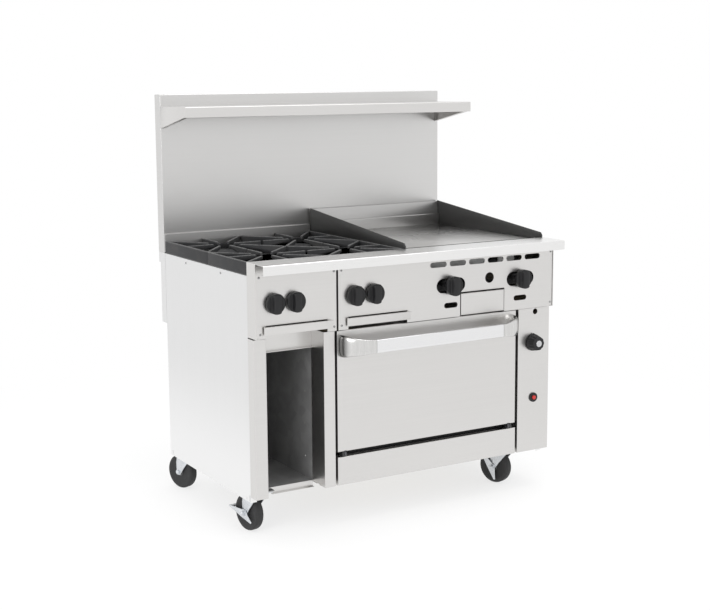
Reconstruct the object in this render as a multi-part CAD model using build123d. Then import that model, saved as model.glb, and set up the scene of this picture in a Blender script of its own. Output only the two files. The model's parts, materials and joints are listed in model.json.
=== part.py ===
from build123d import *
import os
from math import atan2, cos, degrees, hypot, radians, sin

# Commercial gas range, 48 in wide: two 12 in open-burner sections and a 24 in griddle on top,
# a standard oven and an open storage cabinet below, a back riser with a high shelf, on casters.
#
# Every piece is drawn in shop coordinates, in millimetres: x from the left side, y from the control
# panel's front face towards the rear, z from the floor. save() moves it into the part's own frame,
# whose origin is on the floor, in the middle of the footprint.

# ---- driving dimensions ----
WIDTH = 1219.2                      # overall, 48 in
HEIGHT = 1473.0                     # to the top of the riser, 58 in
DEPTH = 864.0                       # landing ledge to the back of the riser, 34 in
COOKING_HEIGHT = 938.0              # top of the ledge and of the grates
LEDGE_REACH = 64.0                  # ledge ahead of the control panel
SHEET = 1.5                         # stainless sheet
SECTION = WIDTH / 4                 # one 12 in section

BACK = DEPTH - LEDGE_REACH          # rear face of the riser
MIDDLE_Y = (BACK - LEDGE_REACH) / 2
BODY_FRONT = 17.0                   # door, kick panel and posts
BODY_BACK = 742.0                   # rear edge of the side panels
FRAME_Y = 57.0                      # seam between front parts and side panels
BODY_BOTTOM = 147.0
SKIRT_BOTTOM = 128.0                # side panels hang lower than the front, clear of a turning wheel
PANEL_BOTTOM = 690.0                # control panels
PANEL_RISE = 930.0
PANEL_TOP = 893.0                   # top of the side panels
SHELF_TOP = 1430.0
SHELF_FRONT = 521.0
RISER_Y = 750.0

# control centres along the panels
VALVE_Z = 804.0
BURNER_KNOB_X = (70.0, 145.0, 374.0, 449.0)
GRIDDLE_KNOB_X = (765.5, 1069.0)
THERMOSTAT = (1143.0, 558.0)        # x, z
IGNITER = (1148.0, 350.0)
STEM_R = 4.0
STEM_BORE_R = 4.05                  # knob on its stem, running
STEM_BORE_DEPTH = 24.0
KNOB_BASE = -3.0                    # rear face of the burner knobs
GRIDDLE_KNOB_BASE = -13.0
KNOB_R = 34.0
KNOB_DEPTH = 29.0

# oven
DOOR_X = (313.0, 1064.0)
DOOR_Z = (264.0, 686.0)
DOOR_HINGE = (22.0, 255.0)          # y, z of the hinge pins
CAVITY_X = (352.0, 1028.0)
CAVITY_Z = (268.0, 642.0)
CAVITY_BACK = 700.0
OVEN_MOUTH_Z = (306.0, 640.0)
INSULATION_X = (312.0, 1068.0)

# storage cabinet
POST_X = (0.0, 47.0)
DIVIDER_X = (262.0, 305.0)
POST_DEPTH = 106.0
FRONT_TOP = PANEL_BOTTOM - 4.5      # posts and rails leave a shadow gap under the control panels
FRAME_PLATE_TOP = 150.5             # caster plates of the base frame
RAIL_DROP_X = 100.5                 # the bottom rail hangs down beyond the caster plate

# casters: swivel axes, in x and y, and how far each one is turned at rest, in degrees
CASTERS = {
    "front_left": (49.0, 123.0, 10.0),
    "rear_left": (49.0, 684.0, 20.0),
    "front_right": (1095.0, 123.0, 18.0),
    "rear_right": (1095.0, 684.0, 12.0),
}
WHEEL_R = 63.5                      # 5 in wheel
WHEEL_W = 32.0
TRAIL = 35.0                        # wheel axle behind the swivel axis
CASTER_PLATE_HALF = 45.0
CASTER_BOLT_REACH = 36.0
BRAKE_SWING = 43.0                  # from the pressed lever to the released one, in degrees
BRAKE_RAISED = {"front_left": 0.0, "front_right": BRAKE_SWING}
AXLE_R = 5.0
AXLE_BORE_R = 5.05
KINGPIN_R = 8.0
KINGPIN_BORE_R = 8.06

SCREWS_FRONT = [(15, 892), (17, 705), (293, 892), (293, 705),
                (322, 892), (322, 705), (1207, 892), (1207, 705)]
SCREWS_SIDE = [(258, 878), (550, 878)]
SCREW_SHANK_R = 2.0
SCREW_HOLE_R = 2.2


# ---- helpers ----
def block(x, y, z):
    """A box between two x, two y and two z planes."""
    spans = (x, y, z)
    return Pos(*[(a + b) / 2 for a, b in spans]) * Box(*[b - a for a, b in spans])


def rod(axis, span, at, radius):
    """A round bar along an axis; at holds its other two coordinates, in x, y, z order."""
    turn = {"x": Rot(0, 90, 0), "y": Rot(90, 0, 0), "z": Rot(0, 0, 0)}[axis]
    centre = list(at)
    centre.insert("xyz".index(axis), (span[0] + span[1]) / 2)
    return Pos(*centre) * turn * Cylinder(radius, span[1] - span[0])


def shell(x, y, z, wall, opened):
    """A box of sheet, open on the faces named, such as "+y -z"."""
    hollow = []
    for name, (a, b) in zip("xyz", (x, y, z)):
        low = a - 1 if "-" + name in opened else a + wall
        high = b + 1 if "+" + name in opened else b - wall
        hollow.append((low, high))
    return block(x, y, z) - block(*hollow)


def sheets(x, y, z, opened):
    """The walls of a box as separate flat sheets, without those on the faces named, such as "+z"."""
    inner_x = (x[0] + SHEET, x[1] - SHEET)
    inner_z = (z[0] + (0 if "-z" in opened else SHEET), z[1] - (0 if "+z" in opened else SHEET))
    walls = {
        "-z": block(x, y, (z[0], z[0] + SHEET)),
        "+z": block(x, y, (z[1] - SHEET, z[1])),
        "-x": block((x[0], inner_x[0]), y, inner_z),
        "+x": block((inner_x[1], x[1]), y, inner_z),
        "-y": block(inner_x, (y[0], y[0] + SHEET), inner_z),
        "+y": block(inner_x, (y[1] - SHEET, y[1]), inner_z),
    }
    return {face: wall for face, wall in walls.items() if face not in opened.split()}


def edges_at(solid, axis, **at):
    """Edges parallel to an axis whose centre has the coordinates given."""
    found = []
    for edge in solid.edges().filter_by(axis):
        centre = edge.center()
        if all(abs(getattr(centre, name.upper()) - value) < 0.05 for name, value in at.items()):
            found.append(edge)
    return found


def soften(solid, radius, *groups):
    """Rounds the edges in each group; a group is (axis, coordinates)."""
    for axis, at in groups:
        solid = fillet(edges_at(solid, axis, **at), radius)
    return solid


def obround(x, z, length, height, y=(-5, 10)):
    """A slot with round ends, through a panel."""
    r = height / 2
    half = length / 2 - r
    ends = [rod("y", y, (x + side * half, z), r) for side in (-1, 1)]
    return block((x - half, x + half), y, (z - r, z + r)) + ends


def prism(points, x):
    """A plate across x, whose outline is a list of (y, z) points."""
    outline = Polyline(*[(0, y, z) for y, z in points], close=True)
    face = make_face(outline)
    return Pos(x[0], 0, 0) * extrude(face, x[1] - x[0], dir=(1, 0, 0))


def mirrored(solid):
    """The same piece on the other side of the range."""
    return Pos(WIDTH, 0, 0) * mirror(solid, Plane.YZ)


def save(name, *pieces):
    solids = [solid for piece in pieces for solid in piece.solids()]
    placed = Pos(-WIDTH / 2, -MIDDLE_Y, 0) * Compound(solids)
    export_step(placed, os.path.join("parts", name + ".step"))


# ---- body ----
def side_panels():
    top = PANEL_TOP
    panel = shell((0, 22), (FRAME_Y, BODY_BACK), (SKIRT_BOTTOM, top), SHEET, "+x -z")
    panel = soften(panel, 2.5, (Axis.Z, dict(x=0, y=BODY_BACK)), (Axis.Y, dict(x=0, z=top)))
    for y, z, half in ((63, 140, 12), (87, 133, 8), (717, 140, 8)):
        panel -= block((-1, 3), (y - 2, y + 2), (z - half, z + half))
    for y, z in SCREWS_SIDE:
        panel -= rod("x", (-1, 3), (y, z), SCREW_HOLE_R)
    save("side_panels", panel, mirrored(panel))


def rear_panels():
    lower = shell((23, WIDTH - 23), (727, BODY_BACK - SHEET - 0.1), (BODY_BOTTOM, 629.5), SHEET, "-y")
    for row in range(5):
        for column in range(6):
            lower -= obround(340 + column * 110, 470 + row * 24, 60, 8, y=(720, BODY_BACK))
    lower -= rod("y", (720, 745), GAS_INLET, GAS_PIPE_R + 3)
    flue = shell((0, WIDTH), (BODY_BACK + 0.1, 785), (630, PANEL_TOP - 0.2), SHEET, "-y +z")
    tabs = [block(x, (785, BACK), (855, PANEL_TOP - 0.2)) for x in ((0, SHEET), (WIDTH - SHEET, WIDTH))]
    save("rear_panel", lower)
    save("flue_box", flue + tabs)


def riser_and_shelf():
    riser = shell((0, WIDTH), (RISER_Y, BACK), (PANEL_TOP, HEIGHT), SHEET, "+y -z")
    lips = [block(x, (BACK - SHEET, BACK), (PANEL_TOP, HEIGHT)) for x in ((0, 18), (WIDTH - 18, WIDTH))]
    lips.append(block((0, WIDTH), (BACK - SHEET, BACK), (HEIGHT - 18, HEIGHT)))
    riser += lips
    corners = [(Axis.Z, dict(x=x, y=RISER_Y)) for x in (0, WIDTH)]
    riser = soften(riser, 2.5, *corners, (Axis.X, dict(y=RISER_Y, z=HEIGHT)))
    save("back_riser", riser)

    gap = 0.1
    back = RISER_Y - gap
    lip_bottom = SHELF_TOP - 38
    shelf = block((0, WIDTH), (SHELF_FRONT, back), (SHELF_TOP - SHEET, SHELF_TOP))
    shelf += block((0, WIDTH), (SHELF_FRONT, SHELF_FRONT + SHEET), (lip_bottom, SHELF_TOP))
    shelf += block((2, WIDTH - 2), (SHELF_FRONT, SHELF_FRONT + 16), (lip_bottom, lip_bottom + SHEET))
    shelf += block((SHEET, WIDTH - SHEET), (back - SHEET, back), (SHELF_TOP - 24, SHELF_TOP))
    shelf = soften(shelf, 3, (Axis.X, dict(y=SHELF_FRONT, z=SHELF_TOP)))
    shelf = soften(shelf, 1.2, (Axis.X, dict(y=SHELF_FRONT, z=lip_bottom)))
    under = SHELF_TOP - SHEET
    front = SHELF_FRONT + SHEET
    side = prism([(front, under), (front, 1395), (back, 1350), (back, under)], (0, SHEET))
    slope = [(front + 16, 1392), (back, 1350), (back, 1350 + SHEET), (front + 16, 1392 + SHEET)]
    foot = prism(slope, (0, 16))
    bracket = side + foot + block((0, 16), (back - SHEET - 0.1 - SHEET, back - SHEET - 0.1), (1351, 1402))
    bracket -= rod("z", (1300, 1402), (10, 700), 3)
    save("high_shelf", shelf)
    save("shelf_brackets", bracket, mirrored(bracket))


def landing_ledge():
    front, top, lip = -LEDGE_REACH, COOKING_HEIGHT, 905
    ledge = block((0, WIDTH), (front, FRAME_Y), (top - SHEET, top))
    ledge += block((0, WIDTH), (front, front + SHEET), (lip, top))
    ledge += block((0, WIDTH), (front, front + 14), (lip, lip + SHEET))
    ledge += block((3, 608), (FRAME_Y - SHEET, FRAME_Y), (898, top))
    ledge += block((616, WIDTH - 3), (FRAME_Y - SHEET, FRAME_Y), (898, top))
    ledge = soften(ledge, 4, (Axis.X, dict(y=front, z=top)))
    ledge = soften(ledge, 1.2, (Axis.X, dict(y=front, z=lip)))
    save("landing_ledge", ledge)


def end_cap():
    cap = block((0, 2.6), (-3, FRAME_Y - 0.2), (PANEL_BOTTOM, COOKING_HEIGHT - SHEET))
    cap += block((0, 12), (-3, -3 + SHEET), (PANEL_BOTTOM, PANEL_BOTTOM + 2))
    return soften(cap, 1.2, (Axis.Z, dict(x=0, y=-3)))


# ---- control panels ----
DRAWER_X = (808.0, 995.0)
DRAWER_Z = (694.0, 772.0)
TRAY_X = ((39.0, 266.0), (350.0, 581.0))
TRAY_LIP_X = ((28.0, 283.0), (340.0, 592.0))
TRAY_LIP_Z = (701.5, 730.0)
TRAY_DEEP = 16.5
PANELS = ((3.0, 303.0), (310.0, 1216.0))
PANEL_TURN = 26.0                   # depth of the panels' folded edges
PANEL_BEND = 1.2
NOTCH_TOP = TRAY_LIP_Z[1] + 3       # over the trays
DRAWER_NOTCH_TOP = DRAWER_Z[1] + 4


def panel_faces():
    """The front sheets of both control panels, parted at the notches for the trays and the drawer."""
    (left, right), (a, b) = PANELS
    tray_left, tray_right = [(lo - 2, hi + 2) for lo, hi in TRAY_X]
    drawer = (DRAWER_X[0] - 3, DRAWER_X[1] + 3)
    low, notch, high = PANEL_BOTTOM, NOTCH_TOP, DRAWER_NOTCH_TOP
    spans = [
        ((left, right), (notch, PANEL_RISE)),
        ((left, tray_left[0]), (low, notch)),
        ((tray_left[1], right), (low, notch)),
        ((a, b), (high, PANEL_RISE)),
        ((a, drawer[0]), (notch, high)),
        ((a, tray_right[0]), (low, notch)),
        ((tray_right[1], drawer[0]), (low, notch)),
        ((drawer[1], b), (low, high)),
    ]
    faces = []
    for x, z in spans:
        bends = [(Axis.Z, dict(x=side, y=0)) for side in x if side in PANELS[0] + PANELS[1]]
        face = block(x, (0, SHEET), z)
        faces.append(soften(face, PANEL_BEND, *bends) if bends else face)
    return faces


def control_panels():
    cuts = [rod("y", (-5, 10), (x, VALVE_Z), 9) for x in BURNER_KNOB_X]
    for x in GRIDDLE_KNOB_X:
        cuts += [obround(x, VALVE_Z, 121, 51), obround(x, 733.5, 57, 19)]
    cuts.append(rod("y", (-5, 10), (932, 818), 19))
    cuts += [obround(712.5 + 82 * i, 880.5, 69, 19) for i in range(6)]
    cuts += [rod("y", (-5, 10), at, SCREW_HOLE_R) for at in SCREWS_FRONT]
    faces = []
    for face in panel_faces():
        for cut in cuts:
            face -= cut
        faces.append(face)
    edges = []
    for x in PANELS:
        folds = sheets(x, (SHEET, PANEL_TURN), (PANEL_BOTTOM, PANEL_RISE), "-y +y -z")
        edges += folds.values()
    cap = end_cap()
    save("control_panels", *faces, *edges, cap, mirrored(cap))


def screw_head():
    return Cone(4.2, 2.6, 2.2, align=(Align.CENTER, Align.CENTER, Align.MIN))


def screws():
    heads = []
    for x, z in SCREWS_FRONT:
        dome = Pos(x, 0, z) * Rot(90, 0, 0) * screw_head()
        heads.append(dome + rod("y", (0, 7), (x, z), SCREW_SHANK_R))
    for y, z in SCREWS_SIDE:
        dome = Pos(0, y, z) * Rot(0, -90, 0) * screw_head()
        screw = dome + rod("x", (0, 2.8), (y, z), SCREW_SHANK_R)
        heads += [screw, mirrored(screw)]
    save("panel_screws", *heads)


# ---- lower front ----
def upright(x):
    """A front post of sheet, open at its back and its ends."""
    column = shell(x, (BODY_FRONT, POST_DEPTH), (BODY_BOTTOM, FRONT_TOP), SHEET, "+y +z -z")
    return soften(column, 2.5, *[(Axis.Z, dict(x=side, y=BODY_FRONT)) for side in x])


def lower_front():
    behind_seam = (FRAME_Y - 0.2, POST_DEPTH + 1)
    post = upright(POST_X) - block((-1, SHEET + 0.1), behind_seam, (100, 700))
    divider = upright(DIVIDER_X) - block((DIVIDER_X[1] - SHEET - 0.1, 310), behind_seam, (100, 700))
    over_frame = block((-1, 310), behind_seam, (BODY_BOTTOM - 1, FRAME_PLATE_TOP + 0.2))
    inside = (POST_X[1] + 0.1, DIVIDER_X[0] - 0.1)
    rail_y = (POST_DEPTH - SHEET, POST_DEPTH)
    top_rail = block(inside, rail_y, (623, FRONT_TOP))
    top_rail += block(inside, (POST_DEPTH - 16, POST_DEPTH), (623, 623 + SHEET))
    drop = (RAIL_DROP_X, inside[1])
    bottom_rail = block(inside, rail_y, (FRAME_PLATE_TOP + 0.2, 153))
    bottom_rail += block(drop, rail_y, (131, 153))
    bottom_rail += block(drop, (POST_DEPTH - 12, POST_DEPTH), (131, 131 + SHEET))
    save("cabinet_front", post - over_frame, divider - over_frame, top_rail, bottom_rail)

    kick = shell((313, 1066), (BODY_FRONT, 40), (BODY_BOTTOM, 246), SHEET, "+y")
    kick = soften(kick, 2.5, (Axis.X, dict(y=BODY_FRONT, z=246)), (Axis.X, dict(y=BODY_FRONT, z=BODY_BOTTOM)))
    save("kick_panel", kick)

    strip_x = (1077, WIDTH)
    strip = shell(strip_x, (BODY_FRONT, FRAME_Y - 0.2), (BODY_BOTTOM + 1, FRONT_TOP), SHEET, "+y")
    strip = soften(strip, 2.5, (Axis.Z, dict(x=1077, y=BODY_FRONT)), (Axis.Z, dict(x=WIDTH, y=BODY_FRONT)))
    strip -= rod("y", (10, 25), (1153, 672), 10.5)
    strip -= rod("y", (10, 25), THERMOSTAT, 10)
    strip -= rod("y", (10, 25), IGNITER, 12)
    ring = rod("y", (12.5, BODY_FRONT), IGNITER, 17) - rod("y", (10, 20), IGNITER, 11.5)
    ring += rod("y", (BODY_FRONT, 40), IGNITER, 11.9) - rod("y", (10, 50), IGNITER, 11.5)
    save("control_strip", strip, ring)


def cabinet_liner():
    walls = sheets((45.5, 263.5), (POST_DEPTH + 0.1, 700), (151, 686), "-y")
    for z in (227, 343, 456, 570):
        walls["+x"] -= rod("x", (255, 270), (157, z), 2.6)
    save("cabinet_liner", *walls.values())


def base_frame():
    front_y, rear_y = CASTERS["front_left"][1], CASTERS["rear_left"][1]
    half, reach = CASTER_PLATE_HALF, CASTER_BOLT_REACH
    front, back = (front_y - half, front_y + half), (rear_y - half, 726)
    plate_z = (BODY_BOTTOM, FRAME_PLATE_TOP)
    front_plate = block((3, WIDTH - 3), front, plate_z)
    front_plate -= block((RAIL_DROP_X - 1, DIVIDER_X[0] + 2), (0, POST_DEPTH + 1), (140, 160))
    plates = [front_plate, block((3, WIDTH - 3), back, plate_z)]
    for x, y, _ in CASTERS.values():
        for dx in (-reach, reach):
            for dy in (-reach, reach):
                bolt_hole = rod("z", (140, 155), (x + dx, y + dy), 4.2)
                plates = [plate - bolt_hole for plate in plates]
    rails = [shell(x, (front[0], back[1]), (FRAME_PLATE_TOP, 187), 2.5, "+y -y +x")
             for x in ((3, 43), (268, 302), (1072, 1110), (1176, 1216))]
    save("base_frame", *plates, *rails)


# ---- oven ----
def oven():
    x, z, mouth = CAVITY_X, CAVITY_Z, OVEN_MOUTH_Z
    front = block((306.5, 1076), (FRAME_Y, FRAME_Y + 2), (FRAME_PLATE_TOP + 0.5, PANEL_BOTTOM - 2))
    front -= block((x[0] + 2, x[1] - 2), (50, 65), mouth)
    save("oven_front_frame", front, *door_hinges())

    cavity = shell(x, (FRAME_Y + 2.1, CAVITY_BACK), z, 2, "-y")
    guide_z = [355, 410, 465, 520, 575]
    for level in guide_z:
        for a, b in ((x[0] + 2, x[0] + 12), (x[1] - 12, x[1] - 2)):
            cavity += block((a, b), (75, 690), (level - 3, level))
    for a, b in ((x[0] + 2, x[0] + 14), (x[1] - 14, x[1] - 2)):
        cavity += block((a, b), (62, 695), (303, 305.8))
    bulb_hole = rod("x", (1000, 1075), (300, 620), 5)
    save("oven_cavity", cavity - bulb_hole)

    wool = block(INSULATION_X, (FRAME_Y + 2.2, 722), (252, 685))
    wool -= block((x[0] - 0.3, x[1] + 0.3), (0, CAVITY_BACK + 0.3), (z[0] - 0.3, z[1] + 0.3))
    save("oven_insulation", wool - bulb_hole)

    floor = shell((x[0] + 4, x[1] - 4), (64, 694), (306, 318), 1.5, "+z")
    for i in range(5):
        floor -= obround_flat(x[0] + 120 + i * 109, 130, 60, 10)
        floor -= obround_flat(x[0] + 120 + i * 109, 640, 60, 10)
    save("oven_floor_plate", floor)

    rack = oven_rack()
    save("oven_racks", *[Pos(0, 0, level + 0.1) * rack for level in (guide_z[1], guide_z[3])])

    tubes = [rod("y", (95, 640), (px, 287), 13) for px in (520, 860)]
    burner = rod("x", (507, 873), (108, 287), 13) + tubes + rod("y", (66, 108), (690, 287), 9)
    feet = [block((px - 20, px + 20), (y - 2, y + 2), (z[0] + 2, 280))
            for px in (520, 860) for y in (200, 600)]
    save("oven_burner", burner + feet)


def obround_flat(x, y, length, width):
    """A slot with round ends, through a horizontal plate."""
    r = width / 2
    half = length / 2 - r
    ends = [rod("z", (300, 320), (x + side * half, y), r) for side in (-1, 1)]
    return block((x - half, x + half), (y - r, y + r), (300, 320)) + ends


def oven_rack():
    """A welded wire rack, drawn with its underside at z = 0."""
    x, y = (CAVITY_X[0] + 8, CAVITY_X[1] - 8), (78, 686)
    frame_r, wire_r = 4.0, 2.5
    rack = rod("x", x, (y[0], frame_r), frame_r) + rod("x", x, (y[1], frame_r), frame_r)
    rack += [rod("y", y, (side, frame_r), frame_r) for side in x]
    rack += [Pos(px, py, frame_r) * Sphere(frame_r) for px in x for py in y]
    rack += rod("x", x, ((y[0] + y[1]) / 2, frame_r), frame_r)
    count = 25
    pitch = (x[1] - x[0]) / (count + 1)
    rack += [rod("y", y, (x[0] + pitch * (i + 1), frame_r + 3), wire_r) for i in range(count)]
    return rack


def thermostat():
    x, z = THERMOSTAT
    body = block((x - 22, x + 22), (28, 78), (z - 24, z + 24))
    body += rod("y", (18.6, 28), THERMOSTAT, 9) + rod("y", (-12, 28), THERMOSTAT, STEM_R)
    pipe_r = 1.6
    corner = (x, 300, z)
    path = rod("y", (78, corner[1]), THERMOSTAT, pipe_r) + Pos(*corner) * Sphere(pipe_r)
    path += rod("z", (z, 620), (x, 300), pipe_r) + Pos(x, 300, 620) * Sphere(pipe_r)
    path += rod("x", (1022, x), (300, 620), pipe_r) + rod("x", (925, 1024), (300, 620), 4)
    save("oven_thermostat", body + path)


DOOR_LUGS_X = ((338, 346), (1031, 1039))


def door_hinges():
    """Brackets on the oven's front frame, with the pins that the door's lugs turn on."""
    y_pin, z_pin = DOOR_HINGE
    hinges = []
    for side, (a, b) in zip((-1, 1), DOOR_LUGS_X):
        plate = (a - 8, a - 1.5) if side < 0 else (b + 1.5, b + 8)
        pin = (plate[0], b) if side < 0 else (a, plate[1])
        hinge = rod("x", plate, DOOR_HINGE, 8) + block(plate, (y_pin, FRAME_Y), (z_pin - 8, z_pin + 8))
        hinges.append(hinge + rod("x", pin, DOOR_HINGE, AXLE_R))
    return hinges


def oven_door():
    y_pin, z_pin = DOOR_HINGE
    skin = shell(DOOR_X, (BODY_FRONT, 54), DOOR_Z, SHEET, "+y")
    for z in DOOR_Z:
        skin = soften(skin, 3, (Axis.X, dict(y=BODY_FRONT, z=z)))
    for a, b in DOOR_LUGS_X:
        skin -= block((a - 1.5, b + 1.5), (10, 55), (260, 267.2))
    save("door_skin", skin)

    liner = block((315, 1062), (50, 53.6), (266, 684)) + block((366, 1014), (53.6, 56.4), (330, 616))
    liner = soften(liner, 2, *[(Axis.X, dict(y=56.4, z=z)) for z in (330, 616)])
    for a, b in DOOR_LUGS_X:
        liner += block((a, b), (BODY_FRONT + 2.5, 51), (z_pin, 290)) + rod("x", (a, b), DOOR_HINGE, 8)
        liner -= rod("x", (a - 1, b + 1), DOOR_HINGE, AXLE_BORE_R)
    save("door_liner", liner)

    ring = block((326, 1052), (53.7, 56.8), (282, 664)) - block((340, 1038), (50, 60), (296, 650))
    save("door_gasket", ring)


def door_handle():
    """A flat oval bar between two castings that curve back to the door."""
    front, thick, bar_z = -62.0, 17.0, (610.0, 656.0)
    seams = (423.0, 952.0)
    base = 320.0
    bar = block(seams, (front, front + thick), bar_z)
    for y in (front, front + thick):
        bar = soften(bar, 7, *[(Axis.X, dict(y=y, z=z)) for z in bar_z])
    reach = BODY_FRONT - front
    spread = seams[0] - base
    outer = Ellipse(spread, reach)
    inner = Ellipse(spread - thick * 1.5, reach - thick)
    quarter = (outer - inner) & Pos(-spread / 2, -reach / 2) * Rectangle(spread, reach)
    arm = Pos(seams[0], BODY_FRONT, bar_z[0]) * extrude(quarter, bar_z[1] - bar_z[0])
    middle_z = sum(bar_z) / 2
    arm += block((base - 2, base + 36), (BODY_FRONT - 5, BODY_FRONT), (middle_z - 38, middle_z + 38))
    save("door_handle", bar, arm, Pos(2 * sum(seams) / 2, 0, 0) * mirror(arm, Plane.YZ))


# ---- cooking top ----
def burner_box():
    """Sheets round the burners, open above and below, with the strips that the grates rest on."""
    front, back = 61.0, 740.0
    left, right = 23.0, 609.0
    bottom, rim, top = 736.0, PANEL_TOP + 0.1, 895.8
    z = (bottom, rim)
    front_wall = block((left, right), (front, front + SHEET), z)
    for x in BURNER_KNOB_X:
        front_wall -= rod("y", (front - 6, front + 9), (x, VALVE_Z), 22)
    walls = [front_wall, block((left, right), (back - SHEET, back), z)]
    between = (front + SHEET, back - SHEET)
    columns = ((left, left + SHEET), (SECTION - 1, SECTION + 1), (right - SHEET, right))
    walls += [block(x, between, z) for x in columns]
    for (_, a), (b, _) in zip(columns, columns[1:]):
        walls += [block((a, b), (y, y + SHEET), (846, 858)) for y in (186, 528)]
    rest_x = ((3, 34), (SECTION - 12, SECTION + 12), (596, right))
    rests = [block(x, (front, back), (rim, top)) for x in rest_x]
    trim = block((2, 611), (741.5, 749.5), (896, 964))
    trim = soften(trim, 2.5, (Axis.X, dict(y=741.5, z=964)))
    save("burner_box", *walls, *rests, trim)


BURNER_FRONT_Y = 209.0
BURNER_REAR_Y = 551.0


def burner(centre, knob_x):
    """A cast burner: round head, riser and a straight venturi to its valve."""
    x, y = centre
    bowl = rod("z", (866, 898), centre, 46) - rod("z", (872, 899), centre, 40)
    riser = rod("z", (VALVE_Z, 868), centre, 15)
    body = bowl + riser + Pos(x, y, VALVE_Z) * Sphere(15)
    body += rod("y", (78, y), (knob_x, VALVE_Z), 13)
    if abs(knob_x - x) > 30:
        span = sorted((knob_x, x))
        body += rod("x", span, (y, VALVE_Z), 13) + Pos(knob_x, y, VALVE_Z) * Sphere(13)
    body += rod("y", (76, 92), (knob_x, VALVE_Z), 19)
    return body - rod("y", (70, 90), (knob_x, VALVE_Z), 10)


def burner_cap(centre):
    cap = rod("z", (898, 912), centre, 48) - rod("z", (897, 903), centre, 38)
    x, y = centre
    for i in range(16):
        angle = i * 360 / 16
        port = Pos(43, 0, 901) * Box(14, 5, 6)
        cap -= Pos(x, y, 0) * Rot(0, 0, angle) * port
    cap = fillet(cap.edges().filter_by(GeomType.CIRCLE).group_by(Axis.Z)[-1], 4)
    return cap


def open_burners():
    centres = [(SECTION * (column + 0.5), y) for column in (0, 1) for y in (BURNER_REAR_Y, BURNER_FRONT_Y)]
    bodies = [burner(centre, knob) for centre, knob in zip(centres, BURNER_KNOB_X)]
    save("burner_bodies", *bodies)
    save("burner_caps", *[burner_cap(centre) for centre in centres])


def grate(x, y, outer):
    """A cast grate: a low frame, a full-height skirt on its outer side, and eight fingers to the middle."""
    bottom, low, top = 896.0, 914.0, COOKING_HEIGHT
    wall = 9
    solid = block(x, y, (bottom, low))
    solid -= block((x[0] + wall, x[1] - wall), (y[0] + wall, y[1] - wall), (bottom - 6, low + 6))
    skirt = (x[0], x[0] + wall) if outer < 0 else (x[1] - wall, x[1])
    solid += block(skirt, y, (bottom, top))
    cx, cy = (x[0] + x[1]) / 2, (y[0] + y[1]) / 2
    half_x, half_y = (x[1] - x[0]) / 2, (y[1] - y[0]) / 2
    for sx in (-1, 0, 1):
        for sy in (-1, 0, 1):
            if sx or sy:
                solid += grate_finger((cx, cy), (sx * (half_x - 4), sy * (half_y - 4)), top)
    return solid & block(x, y, (bottom, top))


def grate_finger(centre, reach, top):
    """One finger, from the frame to a quarter of the way out from the middle; its underside rises inwards."""
    length = hypot(*reach)
    start = 0.25 * length
    outline = Polyline((start, 0, top - 10), (start + 6, 0, top), (length, 0, top), (length, 0, top - 38),
                       (length - 20, 0, top - 38), (length * 0.62, 0, top - 18), close=True)
    web = extrude(make_face(outline), 4.2, dir=(0, 1, 0), both=True)
    return Pos(centre[0], centre[1], 0) * Rot(0, 0, degrees(atan2(reach[1], reach[0]))) * web


def grates():
    seam_y = 363.0
    for side, outer, x in (("left", -1, (0.5, SECTION - 1.5)), ("right", 1, (SECTION + 1.5, 609.5))):
        for place, y in (("front", (58, seam_y - 1)), ("rear", (seam_y + 1, 740))):
            save("grate_" + place + "_" + side, grate(x, y, outer))


GRIDDLE_X = (616.0, 1211.0)
GRIDDLE_TOP = 928.0


def griddle():
    x = GRIDDLE_X
    front, back = 96.0, 738.0
    plate = block(x, (front, back), (GRIDDLE_TOP - 19, GRIDDLE_TOP))
    plate = soften(plate, 3, (Axis.X, dict(y=front, z=GRIDDLE_TOP)))
    save("griddle_plate", plate)

    guard_top = [(58, 894.5), (58, 946), (66, 956), (741, 1025), (741, 894.5)]
    left = prism(guard_top, (x[0] - 4, x[0]))
    right = prism(guard_top, (x[1], x[1] + 4))
    splash = block(x, (back, 741), (894.5, 1022))
    low_splash = block(x, (back - 8, back), (GRIDDLE_TOP, 972))
    low_splash = soften(low_splash, 3, (Axis.X, dict(y=back - 8, z=972)))
    save("griddle_guards", left, right, splash, low_splash)

    floor_z = 896
    trough = shell(x, (59, front), (floor_z, 934), SHEET, "+z")
    drain = (DRAWER_X[0] + DRAWER_X[1]) / 2
    trough -= block((drain - 30, drain + 30), (66, 90), (890, 900))
    chute = shell((drain - 32, drain + 32), (64, 92), (776, floor_z), SHEET, "+z -z")
    aprons = [block(span, (59, 59 + SHEET), (850, floor_z)) for span in ((630, 962), (1012, 1085))]
    save("grease_trough", trough + chute, *aprons)

    flame_z, tube_r, bar = 850, 14, (118, 142)
    burners = []
    for knob in GRIDDLE_KNOB_X:
        burners.append(block((knob - 84, knob + 84), bar, (flame_z - 12, flame_z + 12)))
        burners += [rod("y", (bar[1], 690), (knob + side * 70, flame_z), tube_r) for side in (-1, 1)]
        feed = rod("z", (VALVE_Z, flame_z - 12), (knob, 130), 10) + Pos(knob, 130, VALVE_Z) * Sphere(10)
        burners.append(feed + rod("y", (82, 130), (knob, VALVE_Z), 10))
    bars = [block((612, 1216), (y - 8, y + 8), (828, 835.9)) for y in (300, 600)]
    save("griddle_burners", *burners, *bars)


# ---- gas train ----
GAS_PIPE_R = 13.35                  # 3/4 in NPT
GAS_INLET = (1160.0, 560.0)         # x, z of the rear connection
GAS_TURN_Y = 660.0                  # elbow behind the oven
GAS_NIPPLE_Y = (744.0, 796.0)       # the end that stands out of the rear panel
MANIFOLD = (43.5, 790.5)            # y, z


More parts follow.
